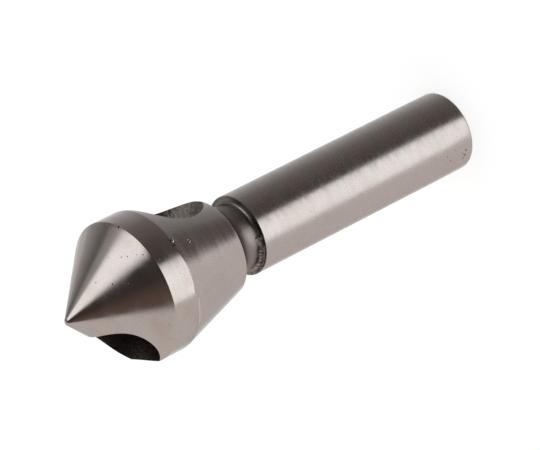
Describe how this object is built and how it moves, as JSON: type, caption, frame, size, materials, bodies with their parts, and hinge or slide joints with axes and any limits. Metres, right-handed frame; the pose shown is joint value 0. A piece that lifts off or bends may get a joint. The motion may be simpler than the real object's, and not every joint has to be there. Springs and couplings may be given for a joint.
{
  "type": "countersink bit",
  "caption": "Straight-shank countersink bit: a 90 degree relief-ground cone with one slanted chip hole, a back-tapered head, a turned neck and a plain round shank, all in one piece.",
  "frame": {"origin": "centre of the flat shank end, on the tool axis, where the bit stands", "axes": "+Z along the tool axis from the shank end to the point; the slanted chip hole's axis lies in the XZ plane, its mouth in the cutting cone on -X and its outlet in the rear cone on +X; the cutting edge is the +Y side of the mouth"},
  "size_m": [0.014, 0.014, 0.048],
  "materials": {
    "tool_steel": "ground and turned bare tool steel, satin"
  },
  "bodies": {
    "root": {"countersink_bit": "tool_steel"}
  },
  "joints": []
}
